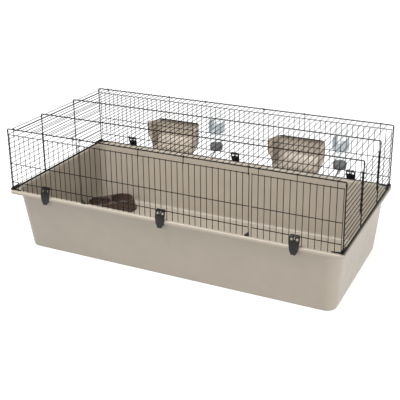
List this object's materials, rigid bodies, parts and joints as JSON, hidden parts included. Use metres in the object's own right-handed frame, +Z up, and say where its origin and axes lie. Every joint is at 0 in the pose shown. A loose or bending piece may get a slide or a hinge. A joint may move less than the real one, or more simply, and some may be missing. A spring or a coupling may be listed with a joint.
{
  "type": "wire rabbit cage",
  "caption": "Long indoor rabbit cage: deep plastic tub, clipped-on wire cover with hanging front door and panels, hay hoppers, drinking bottles and a twin food dish.",
  "frame": {"origin": "middle of the flat underside of the tub", "axes": "+X along the cage's length to the right as seen from the front, -Y towards the front with the door, +Z up"},
  "size_m": [1.52, 0.8516, 0.5734],
  "materials": {
    "tub_plastic": "satin",
    "wire": "powder coated black",
    "black_plastic": "satin",
    "hopper_plastic": "satin",
    "holder_plastic": "glossy",
    "clear_plastic": "clear",
    "cap_plastic": "satin",
    "steel": "bright",
    "dish_plastic": "glossy"
  },
  "bodies": {
    "base": {"tub": "tub_plastic", "left_side_grille": "wire", "right_side_grille": "wire", "roof_grille": "wire", "back_grille": "wire", "corner_feet": "black_plastic", "bottle_holder_left": "holder_plastic", "bottle_holder_right": "holder_plastic", "bottle_cap_left": "cap_plastic", "bottle_cap_right": "cap_plastic", "spout_left": "steel", "spout_right": "steel"},
    "left_panel": {"left_front_panel": "wire"},
    "right_panel": {"right_front_panel": "wire"},
    "door": {"front_door": "wire"},
    "latch_left": {"door_latch_left": "black_plastic"},
    "latch_right": {"door_latch_right": "black_plastic"},
    "clip_front_left": {"clip_front_left": "black_plastic"},
    "clip_back_left": {"clip_back_left": "black_plastic"},
    "clip_front_middle": {"clip_front_middle": "black_plastic"},
    "clip_back_middle": {"clip_back_middle": "black_plastic"},
    "clip_front_right": {"clip_front_right": "black_plastic"},
    "clip_back_right": {"clip_back_right": "black_plastic"},
    "hopper_left": {"hay_hopper_left": "hopper_plastic"},
    "bottle_left": {"bottle_left": "clear_plastic"},
    "ball_left": {"spout_ball_left": "steel"},
    "hopper_right": {"hay_hopper_right": "hopper_plastic"},
    "bottle_right": {"bottle_right": "clear_plastic"},
    "ball_right": {"spout_ball_right": "steel"},
    "dish": {"food_dish": "dish_plastic"}
  },
  "joints": [
    {"name": "door_swing", "type": "hinge", "parent": "base", "child": "door", "pos_m": [-0.002, -0.364, 0.567], "axis": [-1, 0, 0], "range_deg": [0, 200]},
    {"name": "left_panel_swing", "type": "hinge", "parent": "base", "child": "left_panel", "pos_m": [-0.5639, -0.364, 0.567], "axis": [-1, 0, 0], "range_deg": [0, 200]},
    {"name": "right_panel_swing", "type": "hinge", "parent": "base", "child": "right_panel", "pos_m": [0.5666, -0.364, 0.567], "axis": [-1, 0, 0], "range_deg": [0, 200]},
    {"name": "clip_front_left_turn", "type": "hinge", "parent": "left_panel", "child": "clip_front_left", "pos_m": [-0.5639, -0.371, 0.325], "axis": [-1, 0, 0], "range_deg": [0, 100]},
    {"name": "clip_front_middle_turn", "type": "hinge", "parent": "door", "child": "clip_front_middle", "pos_m": [-0.002, -0.371, 0.325], "axis": [-1, 0, 0], "range_deg": [0, 100]},
    {"name": "clip_front_right_turn", "type": "hinge", "parent": "right_panel", "child": "clip_front_right", "pos_m": [0.5666, -0.371, 0.325], "axis": [-1, 0, 0], "range_deg": [0, 100]},
    {"name": "clip_back_left_turn", "type": "hinge", "parent": "base", "child": "clip_back_left", "pos_m": [-0.56925, 0.371, 0.325], "axis": [1, 0, 0], "range_deg": [0, 100]},
    {"name": "clip_back_middle_turn", "type": "hinge", "parent": "base", "child": "clip_back_middle", "pos_m": [0, 0.371, 0.325], "axis": [1, 0, 0], "range_deg": [0, 100]},
    {"name": "clip_back_right_turn", "type": "hinge", "parent": "base", "child": "clip_back_right", "pos_m": [0.56925, 0.371, 0.325], "axis": [1, 0, 0], "range_deg": [0, 100]},
    {"name": "latch_left_turn", "type": "hinge", "parent": "door", "child": "latch_left", "pos_m": [-0.3815, -0.3682, 0.292], "axis": [0, 0, -1], "range_deg": [0, 100]},
    {"name": "latch_right_turn", "type": "hinge", "parent": "door", "child": "latch_right", "pos_m": [0.3775, -0.3682, 0.292], "axis": [0, 0, 1], "range_deg": [0, 100]},
    {"name": "hopper_left_lift", "type": "slide", "parent": "base", "child": "hopper_left", "axis": [0, 0, 1], "range_m": [0, 0.1]},
    {"name": "bottle_left_unscrew", "type": "hinge", "parent": "base", "child": "bottle_left", "pos_m": [-0.115, 0.4133, 0.4], "axis": [0, 0, 1], "range_deg": [0, 360]},
    {"name": "ball_left_lift", "type": "slide", "parent": "base", "child": "ball_left", "axis": [0, 0.9397, 0.342], "range_m": [0, 0.0015]},
    {"name": "hopper_right_lift", "type": "slide", "parent": "base", "child": "hopper_right", "axis": [0, 0, 1], "range_m": [0, 0.1]},
    {"name": "bottle_right_unscrew", "type": "hinge", "parent": "base", "child": "bottle_right", "pos_m": [0.50738, 0.4133, 0.4], "axis": [0, 0, 1], "range_deg": [0, 360]},
    {"name": "ball_right_lift", "type": "slide", "parent": "base", "child": "ball_right", "axis": [0, 0.9397, 0.342], "range_m": [0, 0.0015]},
    {"name": "dish_lift", "type": "slide", "parent": "base", "child": "dish", "axis": [0, 0, 1], "range_m": [0, 0.15]}
  ]
}
